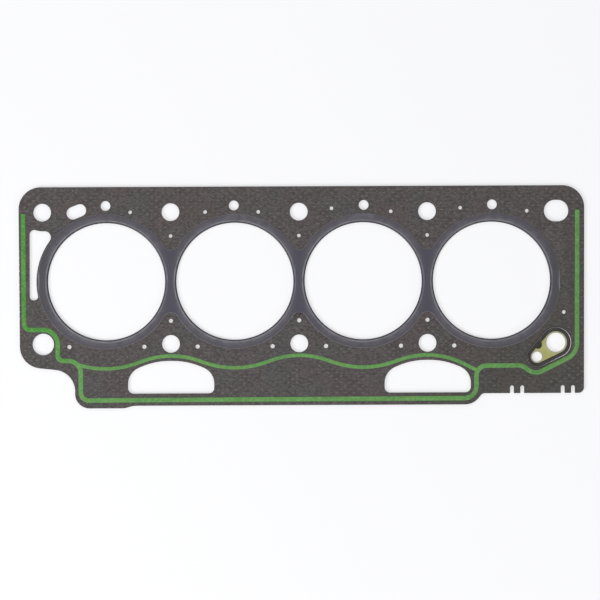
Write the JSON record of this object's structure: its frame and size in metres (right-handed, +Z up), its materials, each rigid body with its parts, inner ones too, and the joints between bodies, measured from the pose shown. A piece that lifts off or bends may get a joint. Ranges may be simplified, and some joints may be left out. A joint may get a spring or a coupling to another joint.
{
  "type": "cylinder head gasket",
  "caption": "Flat composite gasket that seals the cylinder head to the block of an in-line engine, with steel-edged bores, printed bead lines and an oil port insert",
  "frame": {"origin": "centre of the bore row, on the flat band of the bore flange that lies on the cylinder block", "axes": "+X along the bore row towards the end with the oil port, +Y across the row towards the coolant holes, +Z up from the block to the head"},
  "size_m": [0.3923, 0.1535, 0.0016],
  "materials": {
    "soft_facing": "dull brownish grey calendered fibre and mineral facing with faint tang marks",
    "core_steel": "cold-rolled steel sheet",
    "flange_steel": "rolled coated steel with a faint blue cast",
    "green_silicone": "screen-printed green silicone, satin",
    "passivated_steel": "olive-yellow passivated pressed steel",
    "black_elastomer": "moulded black elastomer, satin"
  },
  "bodies": {
    "root": {"upper_facing": "soft_facing", "steel_core": "core_steel", "lower_facing": "soft_facing", "bore_flange": "flange_steel", "upper_bead": "green_silicone", "lower_bead": "green_silicone", "oil_port_plate": "passivated_steel", "oil_port_seal": "black_elastomer"}
  },
  "joints": []
}
